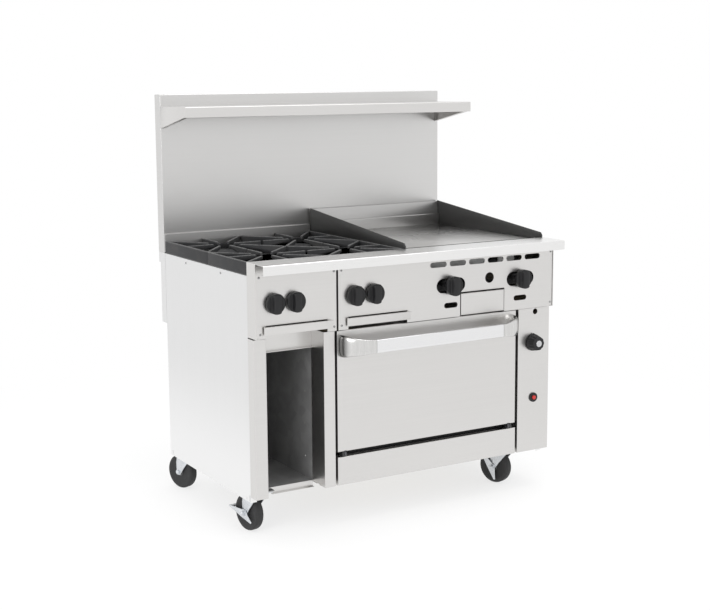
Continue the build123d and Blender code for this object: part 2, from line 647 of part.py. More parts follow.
def gas_train():
    y, z = MANIFOLD
    pipe_r = GAS_PIPE_R
    end_x = 1197.0
    turn_y = GAS_TURN_Y
    valves = [rod("x", (40, end_x), MANIFOLD, pipe_r)]
    for x in BURNER_KNOB_X + GRIDDLE_KNOB_X:
        body = block((x - 13, x + 13), (28, 60), (z, VALVE_Z + 14)) + rod("y", (60, 74), (x, VALVE_Z), 6)
        tip = (KNOB_BASE if x in BURNER_KNOB_X else GRIDDLE_KNOB_BASE) - STEM_BORE_DEPTH + 1.5
        valves.append(body + rod("y", (12, 28), (x, VALVE_Z), 8) + rod("y", (tip, 28), (x, VALVE_Z), STEM_R))
    manifold = valves[0]
    for valve in valves[1:]:
        manifold += valve
    save("gas_manifold", manifold)

    x_in, z_in = GAS_INLET
    inlet = rod("y", GAS_NIPPLE_Y, GAS_INLET, pipe_r) + Pos(x_in, turn_y, z_in) * Sphere(pipe_r)
    inlet += rod("y", (turn_y, GAS_NIPPLE_Y[0]), GAS_INLET, pipe_r - 0.4)
    inlet += rod("z", (z_in, z), (x_in, turn_y), pipe_r) + Pos(x_in, turn_y, z) * Sphere(pipe_r)
    inlet += rod("y", (y + pipe_r + 0.3, turn_y), (x_in, z), pipe_r)
    inlet += rod("z", (640, 662), (x_in, turn_y), 42) + rod("z", (662, 690), (x_in, turn_y), 24)
    save("gas_inlet", inlet)


# ---- controls ----
def burner_knob(x, base, name):
    """A round knob with a raised grip bar; base is the y of its rear face."""
    rim = rod("y", (base - 12, base), (x, VALVE_Z), KNOB_R)
    neck = rod("y", (base - 15, base - 11), (x, VALVE_Z), KNOB_R - 3)
    grip = rod("y", (base - KNOB_DEPTH, base - 14), (x, VALVE_Z), KNOB_R - 1)
    grip = fillet(grip.edges().filter_by(GeomType.CIRCLE).group_by(Axis.Y)[0], 7)
    grip &= block((x - 12, x + 12), (base - 50, base), (VALVE_Z - 50, VALVE_Z + 50))
    knob = fillet(rim.edges().filter_by(GeomType.CIRCLE).group_by(Axis.Y)[0], 4) + neck + grip
    knob -= rod("y", (base - STEM_BORE_DEPTH, base + 1), (x, VALVE_Z), STEM_BORE_R)
    save(name, knob)


def thermostat_knob():
    x, z = THERMOSTAT
    base = BODY_FRONT - 3
    skirt = Pos(x, base, z) * Rot(90, 0, 0) * Cone(32, 25, 34, align=(Align.CENTER, Align.CENTER, Align.MIN))
    for i in range(24):
        angle = radians(i * 15)
        skirt -= rod("y", (base - 40, base - 6), (x + 31 * cos(angle), z + 31 * sin(angle)), 2.4)
    skirt -= rod("y", (base - 27, base + 1), THERMOSTAT, STEM_BORE_R)
    cap = rod("y", (base - 37, base - 34), THERMOSTAT, 12)
    cap = fillet(cap.edges().filter_by(GeomType.CIRCLE).group_by(Axis.Y)[0], 2)
    save("oven_knob", skirt, cap)


def controls():
    for x, name in zip(BURNER_KNOB_X, ("rear_left", "front_left", "rear_right", "front_right")):
        burner_knob(x, KNOB_BASE, "knob_" + name)
    for x, name in zip(GRIDDLE_KNOB_X, ("left", "right")):
        burner_knob(x, GRIDDLE_KNOB_BASE, "griddle_knob_" + name)
    thermostat_knob()
    button = rod("y", (7, 40), IGNITER, 11.4)
    button = fillet(button.edges().filter_by(GeomType.CIRCLE).group_by(Axis.Y)[0], 2.5)
    save("igniter_button", button)


# ---- trays and drawer ----
def trays():
    front, lip_z = -8.0, TRAY_LIP_Z
    behind = front + SHEET
    for name, x, lip_x in zip(("left", "right"), TRAY_X, TRAY_LIP_X):
        pan = sheets(x, (behind, 726), (lip_z[0], lip_z[0] + TRAY_DEEP), "+z")
        lip = block(lip_x, (front, behind), lip_z) + block(lip_x, (-16, behind), (lip_z[1] - SHEET, lip_z[1]))
        save("crumb_tray_" + name, *pan.values(), lip)
    x, z = DRAWER_X, DRAWER_Z
    pan = sheets((x[0] + 4, x[1] - 4), (0.3, 420), (z[0] + 4, 762), "+z")
    face = block(x, (-1.6, 0.3), z) + block(x, (-14, 0.3), (z[1] - SHEET, z[1]))
    save("grease_drawer", *pan.values(), face)


# ---- casters ----
def caster(name, x, y, turn, braked):
    wheel_y = y + TRAIL
    axle = (wheel_y, WHEEL_R)
    half = WHEEL_W / 2
    web_z = (WHEEL_R * 2 + 2.5, WHEEL_R * 2 + 6)
    leg_in, leg_out = half + 3, half + 6.5
    turned = Pos(x, y, 0) * Rot(0, 0, turn) * Pos(-x, -y, 0)

    web_y = (y - 37, y + 40)
    web = block((x - leg_out, x + leg_out), web_y, web_z)
    fork = web + rod("z", (web_z[1], 137.3), (x, y), 29) + rod("z", (web_z[1], 142), (x, y), KINGPIN_R)
    outline = [(web_y[0], web_z[1]), (web_y[1], web_z[1]), (wheel_y + 11, WHEEL_R + 36),
               (wheel_y + 9, WHEEL_R - 10), (wheel_y - 9, WHEEL_R - 10), (wheel_y - 28, WHEEL_R + 18)]
    for a, b in ((x - leg_out, x - leg_in), (x + leg_in, x + leg_out)):
        fork += prism(outline, (a, b))
    fork += rod("x", (x - leg_out - 7, x + leg_out + 7), axle, AXLE_R)
    save("fork_" + name, turned * fork)

    tread = rod("x", (x - half, x + half), axle, WHEEL_R)
    tread = fillet(tread.edges().filter_by(GeomType.CIRCLE), 7)
    for side in (-1, 1):
        face = sorted((x + side * (half - 6), x + side * (half + 1)))
        tread -= rod("x", face, axle, 45) - rod("x", face, axle, 15)
    save("wheel_" + name, turned * (tread - rod("x", (x - half - 1, x + half + 1), axle, AXLE_BORE_R)))

    if braked:
        raised = Pos(x, *axle) * Rot(BRAKE_RAISED[name], 0, 0) * Pos(-x, -wheel_y, -WHEEL_R)
        save("brake_pedal_" + name, turned * raised * brake_pedal(x, wheel_y, leg_out))


def brake_pedal(x, wheel_y, leg_out):
    """A rocker on the axle, drawn pressed: two cheeks with pointed tails and a toe plate."""
    hub_r, tread_gap, toe = 13, 3.5, 17
    toe_y = wheel_y + WHEEL_R + tread_gap
    toe_z = WHEEL_R + 4
    outline = [(wheel_y + 8, WHEEL_R + 11), (toe_y, toe_z + 5), (toe_y + toe, toe_z + 5),
               (toe_y + toe, toe_z), (toe_y, toe_z - 4), (wheel_y + 14, WHEEL_R - 16),
               (wheel_y - 40, WHEEL_R - 29), (wheel_y - 44, WHEEL_R - 24), (wheel_y - 11, WHEEL_R + 8)]
    cheeks = [(x - leg_out - 4, x - leg_out - 1), (x + leg_out + 1, x + leg_out + 4)]
    pedal = block((cheeks[0][0], cheeks[1][1]), (toe_y, toe_y + toe), (toe_z, toe_z + 4))
    for cheek in cheeks:
        pedal += rod("x", cheek, (wheel_y, WHEEL_R), hub_r) + prism(outline, cheek)
    return pedal - rod("x", (x - 50, x + 50), (wheel_y, WHEEL_R), AXLE_BORE_R)


def casters():
    plates = []
    half = CASTER_PLATE_HALF
    for name, (x, y, turn) in CASTERS.items():
        plate = block((x - half, x + half), (y - half, y + half), (143, BODY_BOTTOM))
        plate += rod("z", (137.8, 143), (x, y), 29)
        plates.append(plate - rod("z", (130, 142.5), (x, y), KINGPIN_BORE_R))
        caster(name, x, y, turn, name.startswith("front"))
    save("caster_plates", *plates)


def main():
    os.makedirs("parts", exist_ok=True)
    side_panels()
    rear_panels()
    riser_and_shelf()
    landing_ledge()
    control_panels()
    screws()
    lower_front()
    cabinet_liner()
    base_frame()
    oven()
    thermostat()
    oven_door()
    door_handle()
    burner_box()
    open_burners()
    grates()
    griddle()
    gas_train()
    controls()
    trays()
    casters()


if __name__ == "__main__":
    main()
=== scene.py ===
import json
from math import copysign, cos, pi, radians, sin

import bmesh
import bpy
from mathutils import Matrix, Vector


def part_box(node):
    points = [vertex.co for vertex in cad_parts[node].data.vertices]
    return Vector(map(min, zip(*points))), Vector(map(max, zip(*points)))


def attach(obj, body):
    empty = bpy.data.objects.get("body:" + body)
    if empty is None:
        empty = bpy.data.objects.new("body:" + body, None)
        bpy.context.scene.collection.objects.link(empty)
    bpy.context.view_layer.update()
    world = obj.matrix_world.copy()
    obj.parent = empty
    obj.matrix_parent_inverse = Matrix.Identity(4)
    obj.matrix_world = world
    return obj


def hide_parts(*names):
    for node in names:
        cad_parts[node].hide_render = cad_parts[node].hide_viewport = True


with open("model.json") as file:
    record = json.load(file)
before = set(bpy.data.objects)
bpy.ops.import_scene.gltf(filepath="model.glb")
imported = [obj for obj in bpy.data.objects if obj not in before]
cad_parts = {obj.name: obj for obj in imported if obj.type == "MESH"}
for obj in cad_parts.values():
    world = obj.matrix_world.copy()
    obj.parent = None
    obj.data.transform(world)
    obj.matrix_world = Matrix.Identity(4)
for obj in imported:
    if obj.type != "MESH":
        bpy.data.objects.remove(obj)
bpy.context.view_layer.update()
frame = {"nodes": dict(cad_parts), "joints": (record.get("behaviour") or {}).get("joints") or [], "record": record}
NODES = frame["nodes"]
BODIES = frame["record"]["behaviour"]["bodies"]
BODY_OF = {node: body for body, members in BODIES.items() for node in members}
SLOT_OF = {part["node"]: part["material_slot"] for part in frame["record"]["subparts"]}
JOINTS = {joint["name"]: joint for joint in frame["joints"]}
MM = 0.001
X, Y, Z = range(3)
UP = Vector((0, 0, 1))
FRONT_CORNERS = ("front_left", "front_right")
CORNERS = (*FRONT_CORNERS, "rear_left", "rear_right")


# ---- camera, light and floor ----
CAMERA_AT = (-2.4476, -4.1006, 1.5143)
CAMERA_ANGLES = (29.64, 8.47, -0.55)    # azimuth, elevation and roll, in degrees
CAMERA_LENS, SENSOR = 66.41, 36.0       # in millimetres
CAMERA_SHIFT = (0.0326, -0.0402)
CAMERA_REACH = 100                      # metres
BACKDROP = 1.0                          # its brightness
FLOOR_RADIUS, FLOOR_SIDES = 40, 96
FLOOR_GREY = (0.96, 0.96, 0.96)
FLOOR_FADE = (0.6, 2.4)                 # distances from the middle over which it turns into the backdrop
SHADOW_FADE = 0.72                      # how far the backdrop outshines the shadow under the range
LIGHTS = {                              # place, what it is turned to, width and height, watts
    "key": ((-4.2, -2.6, 2.6), (0, 0, 0.6), (2.4, 2.4), 60),
    "top": ((0.6, -0.8, 4.2), (0.2, 0, 0.9), (3.0, 2.0), 45),
}


def add_camera():
    azimuth, elevation, roll = (radians(angle) for angle in CAMERA_ANGLES)
    ahead = Vector((sin(azimuth) * cos(elevation), cos(azimuth) * cos(elevation), -sin(elevation)))
    level_right = Vector((cos(azimuth), -sin(azimuth), 0))
    level_up = level_right.cross(ahead)
    right = level_right * cos(roll) + level_up * sin(roll)
    up = level_up * cos(roll) - level_right * sin(roll)
    data = bpy.data.cameras.new("camera")
    data.sensor_width, data.lens = SENSOR, CAMERA_LENS
    data.shift_x, data.shift_y = CAMERA_SHIFT
    data.clip_end = CAMERA_REACH
    camera = bpy.data.objects.new("camera", data)
    camera.matrix_world = Matrix((right, up, -ahead)).transposed().to_4x4()
    camera.location = CAMERA_AT
    bpy.context.scene.collection.objects.link(camera)
    bpy.context.scene.camera = camera


def area_light(name, at, towards, size, watts):
    data = bpy.data.lights.new(name, "AREA")
    data.shape, data.size, data.size_y = "RECTANGLE", size[0], size[1]
    data.energy = watts
    light = bpy.data.objects.new(name, data)
    light.location = at
    light.rotation_euler = (Vector(towards) - Vector(at)).to_track_quat("-Z", "Y").to_euler()
    bpy.context.scene.collection.objects.link(light)


def add_lights():
    world = bpy.data.worlds.new("studio")
    world.use_nodes = True
    background = world.node_tree.nodes["Background"]
    background.inputs["Color"].default_value = (1, 1, 1, 1)
    background.inputs["Strength"].default_value = BACKDROP
    bpy.context.scene.world = world
    for name, settings in LIGHTS.items():
        area_light(name, *settings)
    bpy.context.scene.view_settings.view_transform = "Standard"


def add_floor():
    """A wide round floor that fades into the backdrop, so that no horizon shows."""
    mesh = bpy.data.meshes.new("floor")
    bm = bmesh.new()
    bmesh.ops.create_circle(bm, cap_ends=True, segments=FLOOR_SIDES, radius=FLOOR_RADIUS)
    bm.to_mesh(mesh)
    bm.free()
    floor = bpy.data.objects.new("floor", mesh)
    bpy.context.scene.collection.objects.link(floor)
    paint = Paint("studio_floor", FLOOR_GREY, 0.85)
    distance = paint.add("ShaderNodeVectorMath", operation="LENGTH")
    paint.link(paint.place, distance.inputs[0])
    fade = paint.remap(distance.outputs["Value"], SHADOW_FADE, 1, *FLOOR_FADE, smooth=True)
    glow = paint.add("ShaderNodeEmission")
    glow.inputs["Color"].default_value = (1, 1, 1, 1)
    glow.inputs["Strength"].default_value = BACKDROP
    blend = paint.add("ShaderNodeMixShader")
    paint.link(fade, blend.inputs[0])
    paint.link(paint.shader.outputs[0], blend.inputs[1])
    paint.link(glow.outputs[0], blend.inputs[2])
    paint.link(blend.outputs[0], paint.output.inputs["Surface"])
    mesh.materials.append(paint.material)


# ---- materials ----
class Paint:
    """One Principled material, with patterns laid on the object's own coordinates in metres."""

    def __init__(self, name, colour, roughness, metallic=0.0, **fixed):
        self.material = bpy.data.materials.new(name)
        self.material.use_nodes = True
        self.tree = self.material.node_tree
        self.shader = self.tree.nodes["Principled BSDF"]
        self.output = self.tree.nodes["Material Output"]
        self.shader.inputs["Base Color"].default_value = (*colour, 1)
        self.shader.inputs["Roughness"].default_value = roughness
        self.shader.inputs["Metallic"].default_value = metallic
        for key, value in fixed.items():
            self.shader.inputs[key.replace("_", " ").title().replace("Ior", "IOR")].default_value = value
        self.place = self.add("ShaderNodeTexCoord").outputs["Object"]

    def add(self, kind, **settings):
        node = self.tree.nodes.new(kind)
        for key, value in settings.items():
            setattr(node, key, value)
        return node

    def link(self, source, target):
        self.tree.links.new(source, target)

    def noise(self, per_metre, detail=3.0, rough=0.6, shift=0.0):
        """Noise with about that many features per metre, in all directions or along x, y and z."""
        scaled = self.add("ShaderNodeMapping")
        scaled.inputs["Scale"].default_value = per_metre if isinstance(per_metre, tuple) else (per_metre,) * 3
        scaled.inputs["Location"].default_value = (shift, shift * 0.7, shift * 1.3)
        self.link(self.place, scaled.inputs["Vector"])
        noise = self.add("ShaderNodeTexNoise")
        noise.inputs["Scale"].default_value = 1
        noise.inputs["Detail"].default_value = detail
        noise.inputs["Roughness"].default_value = rough
        self.link(scaled.outputs[0], noise.inputs["Vector"])
        return noise.outputs["Fac"]

    def cells(self, per_metre):
        """Rounded cells, as a node with the distance from each one's middle and a random colour for it."""
        node = self.add("ShaderNodeTexVoronoi")
        node.inputs["Scale"].default_value = per_metre
        self.link(self.place, node.inputs["Vector"])
        return node

    def remap(self, value, low, high, at_low=0.3, at_high=0.7, smooth=False):
        """From low, where the value is at_low or less, to high, where it is at_high or more."""
        node = self.add("ShaderNodeMapRange")
        if smooth:
            node.interpolation_type = "SMOOTHSTEP"
        self.link(value, node.inputs["Value"])
        for name, number in zip(("From Min", "From Max", "To Min", "To Max"), (at_low, at_high, low, high)):
            node.inputs[name].default_value = number
        return node.outputs["Result"]

    def maths(self, operation, a, b=0.0):
        node = self.add("ShaderNodeMath", operation=operation)
        for socket, value in zip(node.inputs, (a, b)):
            if isinstance(value, (int, float)):
                socket.default_value = value
            else:
                self.link(value, socket)
        return node.outputs[0]

    def coordinate(self, axis):
        """The object's own x, y or z, in metres."""
        split = self.add("ShaderNodeSeparateXYZ")
        self.link(self.place, split.inputs[0])
        return split.outputs[axis]

    def mix(self, factor, first, second):
        """Two colours or colour outputs, mixed by a factor."""
        node = self.add("ShaderNodeMix", data_type="RGBA")
        self.link(factor, node.inputs[0])
        for socket, value in ((node.inputs[6], first), (node.inputs[7], second)):
            if isinstance(value, tuple):
                socket.default_value = (*value, 1)
            else:
                self.link(value, socket)
        return node.outputs[2]

    def set_colour(self, value):
        self.link(value, self.shader.inputs["Base Color"])

    def set_roughness(self, value):
        self.link(value, self.shader.inputs["Roughness"])

    def bump(self, *layers):
        """Each layer is (height, depth in millimetres, strength)."""
        last = None
        for value, depth, strength in layers:
            node = self.add("ShaderNodeBump")
            node.inputs["Strength"].default_value = strength
            node.inputs["Distance"].default_value = depth * MM
            self.link(value, node.inputs["Height"])
            if last is not None:
                self.link(last, node.inputs["Normal"])
            last = node.outputs[0]
        self.link(last, self.shader.inputs["Normal"])


def tint(colour, factor):
    return tuple(min(1.0, c * factor) for c in colour)


def grained(grain, along, across):
    """Features per metre along x, y and z, for a pattern with its grain along one of them."""
    return tuple(along if axis == grain else across for axis in "xyz")


def stainless(name, colour, roughness, grain="x", depth=1.0, cloud=1.0, painted_floor_light=1.0):
    """Brushed sheet: fine scratches along the grain, clouded by cleaning, with dull handling marks.

    depth and cloud set the strength of the scratches and of the clouds. The tint that the sheet takes towards the
    floor is painted light, for the floor's light on it.
    """
    paint = Paint(name, colour, roughness, metallic=1.0)
    bands = paint.noise(grained(grain, 1.2, 190.0), detail=4, rough=0.65)
    scratches = paint.noise(grained(grain, 7.2, 1500.0), detail=2, rough=0.5, shift=3.1)
    clouds = paint.noise(1.7, detail=3, rough=0.5, shift=7.7)
    marks = paint.noise(21.0, detail=5, rough=0.62, shift=1.9)
    light, dark = tint(colour, 1.012), tint(colour, 1 - 0.020 * depth)
    scored, dulled = tint(colour, 0.94), tint(colour, 0.965)
    shade = paint.mix(paint.remap(bands, 0, 1), dark, light)
    shade = paint.mix(paint.remap(scratches, 0, 0.14 * depth, 0.35, 0.65), shade, scored)
    shade = paint.mix(paint.remap(clouds, 0, 0.35 * cloud, 0.42, 0.68), shade, dulled)
    # painted light: the colour is tinted towards the floor, where the floor's light falls on the sheet
    if painted_floor_light != 1.0:
        low = paint.remap(paint.coordinate(Z), 1, 0, 0.15, 0.60, smooth=True)
        shade = paint.mix(low, shade, tint(colour, painted_floor_light))
    paint.set_colour(shade)
    brushed = paint.remap(bands, roughness - 0.010, roughness + 0.015)
    paint.set_roughness(paint.maths("ADD", brushed, paint.remap(marks, 0, 0.02 * cloud, 0.50, 0.72)))
    paint.bump((scratches, 0.05, 0.12 * depth), (clouds, 1.2, 0.04))
    return paint.material


def handle_casting():
    """A polished casting, with painted shade where it curves back to the door."""
    colour = (0.66, 0.655, 0.645)
    paint = Paint("handle_casting", colour, 0.24, metallic=1.0)
    low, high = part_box("door_handle")
    middle, reach = (low[X] + high[X]) / 2, (high[X] - low[X]) / 2
    outward = paint.maths("ABSOLUTE", paint.maths("SUBTRACT", paint.coordinate(X), middle))
    # painted shade: the ends are painted darker where they curve back to the door, for the shade they turn into
    painted_shade_at_ends = paint.remap(outward, 0, 1, reach - 20 * MM, reach - 4 * MM, smooth=True)
    polish = paint.noise((260.0, 260.0, 9.0), detail=3, rough=0.55)
    base = paint.mix(paint.remap(polish, 0, 1), tint(colour, 0.94), tint(colour, 1.04))
    paint.set_colour(paint.mix(painted_shade_at_ends, base, tint(colour, 0.38)))
    paint.set_roughness(paint.remap(polish, 0.21, 0.28))
    return paint.material


def cast_iron():
    """Seasoned cast iron: a sand-cast skin, brown-grey bloom, and top faces painted lighter in patches."""
    black, grey = (0.020, 0.020, 0.022), (0.042, 0.043, 0.045)
    brown_grey, bright = (0.055, 0.052, 0.050), (0.15, 0.15, 0.15)
    paint = Paint("cast_iron", grey, 0.64, metallic=0.15, specular_ior_level=0.35)
    skin = paint.noise(620.0, detail=4, rough=0.7)
    lumps = paint.noise(140.0, detail=3, rough=0.55, shift=4.0)
    bloom = paint.noise(17.0, detail=5, rough=0.6, shift=2.0)
    base = paint.mix(paint.remap(skin, 0, 1), black, grey)
    base = paint.mix(paint.remap(bloom, 0, 0.55, 0.45, 0.75), base, brown_grey)
    grate_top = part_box("grate_front_left")[1][Z]
    top = paint.remap(paint.coordinate(Z), 0, 1, grate_top - 3.0 * MM, grate_top - 0.2 * MM)
    # the faces within 3 mm of the top are painted lighter in patches, picked by height alone
    lighter_tops = paint.maths("MULTIPLY", top, paint.remap(lumps, 0.35, 1, 0.35, 0.62))
    paint.set_colour(paint.mix(lighter_tops, base, bright))
    smoothed = paint.maths("MULTIPLY", lighter_tops, 0.20)
    paint.set_roughness(paint.maths("SUBTRACT", paint.remap(skin, 0.50, 0.74), smoothed))
    paint.bump((skin, 0.5, 0.35), (lumps, 1.2, 0.25))
    return paint.material


def griddle_steel():
    """Ground plate: fine lines across, heat-dulled blotches and scraper marks, duller towards its front."""
    colour = (0.70, 0.695, 0.685)
    paint = Paint("griddle_steel", colour, 0.24, metallic=1.0)
    lines = paint.noise(grained("x", 2.0, 620.0), detail=3, rough=0.6)
    heat = paint.noise(5.5, detail=4, rough=0.55, shift=5.0)
    scraped = paint.noise(grained("y", 1.4, 90.0), detail=4, rough=0.7, shift=2.0)
    base = paint.mix(paint.remap(lines, 0, 1), tint(colour, 0.90), tint(colour, 1.08))
    base = paint.mix(paint.remap(heat, 0, 0.6, 0.45, 0.72), base, tint(colour, 0.86))
    paint.set_colour(paint.mix(paint.remap(scraped, 0, 0.25, 0.55, 0.8), base, tint(colour, 1.06)))
    low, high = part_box("griddle_plate")
    dull = paint.remap(paint.coordinate(Y), 0.36, 0.17, low[Y], high[Y] - 100 * MM)
    paint.set_roughness(paint.maths("ADD", dull, paint.remap(heat, 0, 0.06, 0.35, 0.7)))
    paint.bump((lines, 0.04, 0.10))
    return paint.material


def sheet_metal(name, colour, roughness, spangle=45.0, metallic=0.85):
    """Galvanised or aluminised sheet: crystals of slightly different grey, and dull stains."""
    paint = Paint(name, colour, roughness, metallic)
    grey = paint.add("ShaderNodeRGBToBW")
    paint.link(paint.cells(spangle).outputs["Color"], grey.inputs[0])
    crystals = grey.outputs[0]
    stains = paint.noise(9.0, detail=5, rough=0.6, shift=6.0)
    base = paint.mix(crystals, tint(colour, 0.86), tint(colour, 1.12))
    paint.set_colour(paint.mix(paint.remap(stains, 0, 0.6, 0.45, 0.75), base, tint(colour, 0.70)))
    dull = paint.remap(crystals, roughness - 0.06, roughness + 0.08, 0, 1)
    paint.set_roughness(paint.maths("ADD", dull, paint.remap(stains, 0, 0.12, 0.4, 0.8)))
    paint.bump((paint.noise(60.0, detail=3, rough=0.5), 0.6, 0.12))
    return paint.material


def enamel(name, colour, roughness, speck):
    """Vitreous enamel: glossy, slightly wavy, with fine light specks."""
    speck_grey = (0.45, 0.45, 0.47)
    paint = Paint(name, colour, roughness, coat_weight=0.25, coat_roughness=0.12)
    specks = paint.remap(paint.cells(420.0).outputs["Distance"], 1, 0, 0.10, 0.20)
    cloud = paint.noise(11.0, detail=4, rough=0.6)
    base = paint.mix(paint.remap(cloud, 0, 1), tint(colour, 0.8), tint(colour, 1.25))
    paint.set_colour(paint.mix(paint.maths("MULTIPLY", specks, speck), base, speck_grey))
    paint.set_roughness(paint.remap(cloud, roughness - 0.05, roughness + 0.12))
    paint.bump((paint.noise(38.0, detail=2, rough=0.5, shift=3.0), 1.5, 0.08))
    return paint.material


def moulded(name, colour, roughness, texture=0.25, dust=0.15, specular=0.5):
    """A fine leathered skin, slightly greyed by wear: moulded plastic, phenolic, or paint on metal."""
    paint = Paint(name, colour, roughness, specular_ior_level=specular)
    skin = paint.noise(1400.0, detail=2, rough=0.5)
    wear = paint.noise(95.0, detail=4, rough=0.65, shift=2.0)
    base = paint.mix(paint.remap(skin, 0, 1), tint(colour, 0.85), tint(colour, 1.2))
    worn = tuple(c * 0.8 + 0.012 for c in colour)
    paint.set_colour(paint.mix(paint.remap(wear, 0, dust * 2, 0.45, 0.8), base, worn))
    paint.set_roughness(paint.remap(wear, roughness - 0.06, roughness + 0.12))
    paint.bump((skin, 0.25, texture))
    return paint.material


def rubber():
    """Caster tread: dull black rubber with lighter, dusty scuffs."""
    black, grey, dusty = (0.022, 0.022, 0.023), (0.042, 0.042, 0.043), (0.060, 0.059, 0.057)
    paint = Paint("wheel_rubber", black, 0.66, specular_ior_level=0.3)
    skin = paint.noise(900.0, detail=3, rough=0.6)
    scuffs = paint.noise((260.0, 60.0, 60.0), detail=5, rough=0.7, shift=3.0)
    base = paint.mix(paint.remap(skin, 0, 1), black, grey)
    paint.set_colour(paint.mix(paint.remap(scuffs, 0, 0.6, 0.5, 0.75), base, dusty))
    paint.set_roughness(paint.remap(scuffs, 0.50, 0.78))
    paint.bump((skin, 0.3, 0.3), (scuffs, 0.4, 0.2))
    return paint.material


def plated(name, colour, roughness):
    """Bright plate: faint cloudy passivation, with small dull spots."""
    paint = Paint(name, colour, roughness, metallic=1.0)
    cloud = paint.noise(34.0, detail=5, rough=0.65)
    spots = paint.noise(310.0, detail=2, rough=0.5, shift=4.0)
    base = paint.mix(paint.remap(cloud, 0, 1), tint(colour, 0.86), tint(colour, 1.08))
    paint.set_colour(paint.mix(paint.remap(spots, 0, 0.5, 0.55, 0.75), base, tint(colour, 0.72)))
    paint.set_roughness(paint.remap(cloud, roughness - 0.08, roughness + 0.12))
    paint.bump((cloud, 0.6, 0.12), (spots, 0.1, 0.2))
    return paint.material


def wool(name, colour, strands):
    """Mineral wool or woven gasket: tangled fibres, so many per metre, fully matt."""
    paint = Paint(name, colour, 0.95, sheen_weight=0.2)
    fibres = paint.noise(grained("y", strands * 0.25, strands), detail=5, rough=0.8)
    tufts = paint.noise(strands * 0.12, detail=4, rough=0.6, shift=3.0)
    base = paint.mix(paint.remap(fibres, 0, 1), tint(colour, 0.6), tint(colour, 1.25))
    paint.set_colour(paint.mix(paint.remap(tufts, 0, 0.5), base, tint(colour, 0.75)))
    paint.bump((fibres, 1.5, 0.6), (tufts, 4.0, 0.4))
    return paint.material


# each finish: how it is made, its colour, and the rest of the maker's settings
FINISHES = {
    "stainless_front": (stainless, (0.690, 0.680, 0.668), dict(roughness=0.30)),
    # the side sheet is painted lighter towards the floor, as painted floor light
    "stainless_side": (stainless, (0.765, 0.765, 0.765), dict(roughness=0.34, grain="z", painted_floor_light=1.13)),
    "stainless_riser": (stainless, (0.65, 0.645, 0.638), dict(roughness=0.30, depth=0.5)),
    # ledge_steel is a lighter copy of the front's stainless, painted light for the ledge's bright reflections
    "ledge_steel": (stainless, (0.83, 0.826, 0.82), dict(roughness=0.28)),
    # trim_steel is stainless painted darker than the riser, as painted shade on the splash sheets behind the
    # griddle
    "trim_steel": (stainless, (0.50, 0.495, 0.49), dict(roughness=0.36, depth=0.3, cloud=0.3)),
    "handle_steel": (stainless, (0.80, 0.80, 0.805), dict(roughness=0.22, depth=0.4, cloud=0.4)),
    "casting_steel": (stainless, (0.60, 0.60, 0.61), dict(roughness=0.20, grain="z", depth=0.5, cloud=0.6)),
    # the guards' stainless is painted near black, as a painted dark reflection
    "griddle_guard_steel": (stainless, (0.085, 0.085, 0.084), dict(roughness=0.42, grain="y", depth=0.8)),
    "galvanised": (sheet_metal, (0.36, 0.36, 0.355), dict(roughness=0.48)),
    # apron_sheet is painted light and mostly matt, as painted light in the shade behind the panel
    "apron_sheet": (sheet_metal, (0.78, 0.78, 0.775), dict(roughness=0.5, spangle=60.0, metallic=0.25)),
    # liner_sheet is painted lighter, as painted light inside the dark cabinet
    "liner_sheet": (sheet_metal, (0.33, 0.33, 0.33), dict(roughness=0.42, spangle=30.0, metallic=0.3)),
    "aluminised": (sheet_metal, (0.17, 0.17, 0.168), dict(roughness=0.50, spangle=90.0)),
    "screw_steel": (plated, (0.42, 0.42, 0.42), dict(roughness=0.24)),
    "rack_chrome": (plated, (0.74, 0.74, 0.75), dict(roughness=0.16)),
    "zinc_plate": (plated, (0.70, 0.72, 0.745), dict(roughness=0.26)),
    "black_enamel": (enamel, (0.018, 0.018, 0.019), dict(roughness=0.40, speck=0.1)),
    "oven_enamel": (enamel, (0.045, 0.045, 0.052), dict(roughness=0.28, speck=0.8)),
    "mineral_wool": (wool, (0.48, 0.40, 0.25), dict(strands=900.0)),
    "gasket_fibre": (wool, (0.22, 0.22, 0.215), dict(strands=1500.0)),
    # valve_metal is painted near black as painted shade seen through the knob slots; the valves themselves are
    # bright metal
    "valve_metal": (moulded, (0.028, 0.028, 0.029), dict(roughness=0.42, texture=0.3)),
    "black_pipe": (moulded, (0.030, 0.030, 0.032), dict(roughness=0.5, texture=0.5)),
    "knob_black": (moulded, (0.012, 0.012, 0.013), dict(roughness=0.36, specular=0.34)),
    "rim_grey": (moulded, (0.085, 0.086, 0.088), dict(roughness=0.45, texture=0.2)),
    "button_red": (moulded, (0.55, 0.035, 0.03), dict(roughness=0.24, texture=0.08, dust=0.03)),
}


def make_materials():
    """One material for each slot of the record, and a few more shades of the same finishes, some of them lighter
    and darker copies with painted light and shade.
    """
    made = {name: maker(name, colour, **settings) for name, (maker, colour, settings) in FINISHES.items()}
    made["handle_casting"] = handle_casting()
    made["griddle_steel"] = griddle_steel()
    made["cast_iron"] = cast_iron()
    made["wheel_rubber"] = rubber()
    return made


# ---- mesh helpers ----
WELD = 1e-6                             # metres within which two vertices are one
FLAT = radians(0.6)                     # faces that meet at less than this are one face
ROUND_FROM = radians(38)                # edges sharper than this are rounded
ROUND_SEGMENTS = 2


